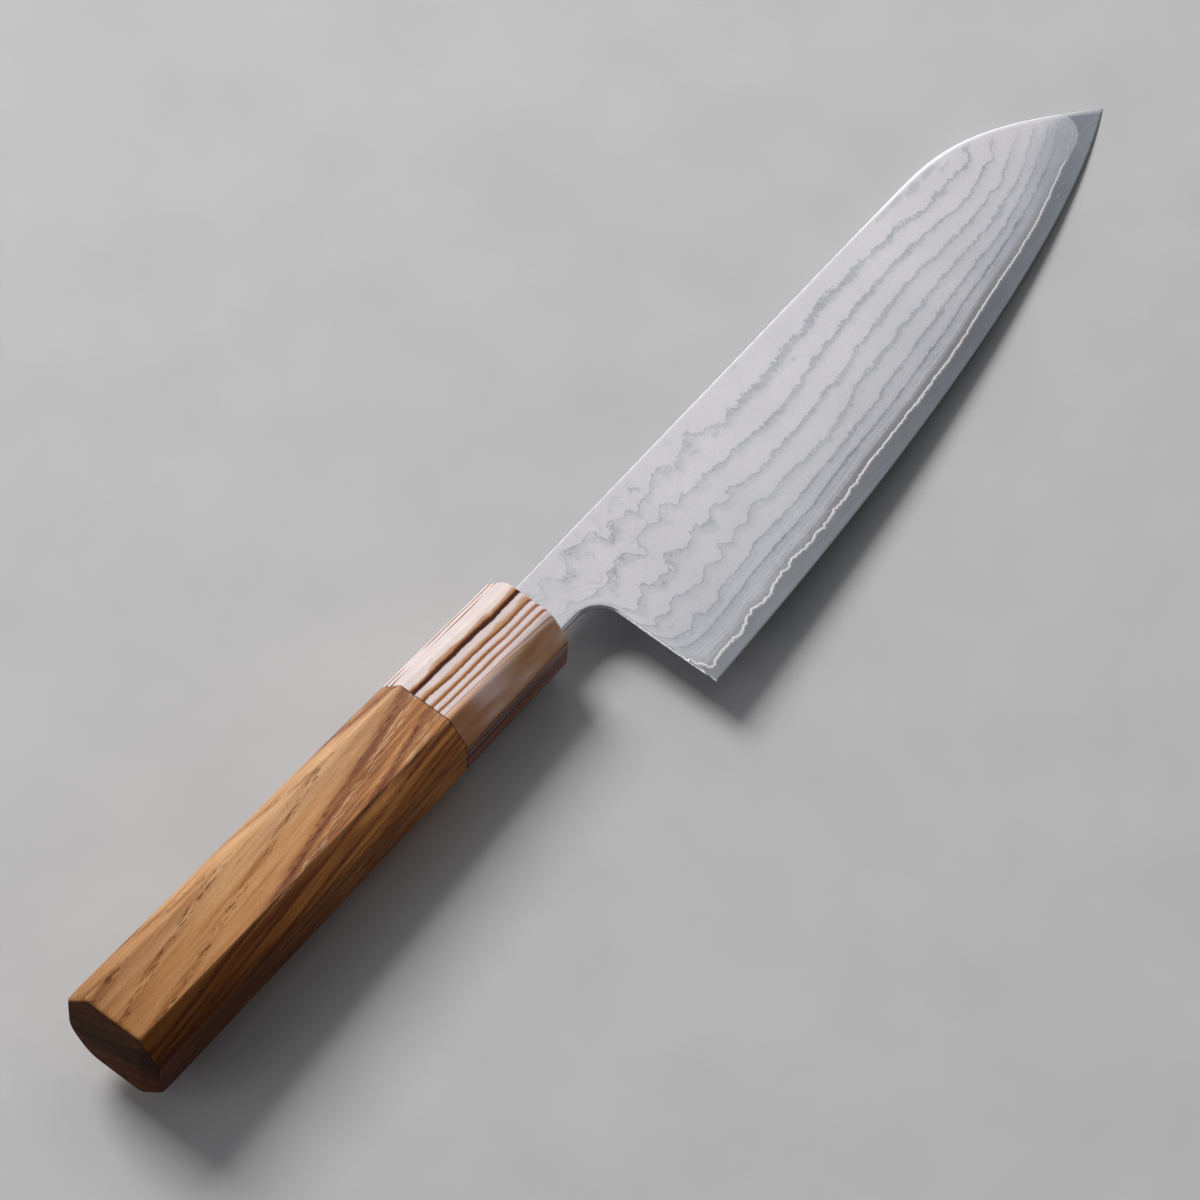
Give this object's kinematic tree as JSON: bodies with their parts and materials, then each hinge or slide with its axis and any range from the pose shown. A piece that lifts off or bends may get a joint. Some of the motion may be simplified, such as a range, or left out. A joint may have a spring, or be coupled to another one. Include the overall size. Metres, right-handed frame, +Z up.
{
  "type": "kitchen knife",
  "caption": "Broad kitchen knife with a patterned laminated blade, a straight spine that drops to the tip, a striped ferrule and an eight-sided wooden handle.",
  "frame": {"origin": "middle of the bounding box's bottom, on the surface that the knife lies on with its left side down", "axes": "+X from the butt of the handle to the blade's tip, +Y from the cutting edge to the spine, +Z up through the blade's thickness; the knife leans 3.06 degrees nose-down about Y, as it rests on the ferrule's rim and the tip"},
  "size_m": [0.3134, 0.051, 0.0277],
  "materials": {
    "core_steel": "fine ground satin",
    "patterned_steel": "matte blasted, layered pattern",
    "ferrule_resin": "polished, cream with brown stripes along its length",
    "handle_wood": "oiled, open pores",
    "dowel_wood": "raw",
    "tang_resin": "cured resin",
    "seal_filler": "dark filler"
  },
  "bodies": {
    "root": {"core_steel": "core_steel", "cladding_right": "patterned_steel", "cladding_left": "patterned_steel", "ferrule": "ferrule_resin", "handle_body": "handle_wood", "tang_dowel": "dowel_wood", "tang_adhesive": "tang_resin", "mouth_seal": "seal_filler"}
  },
  "joints": []
}
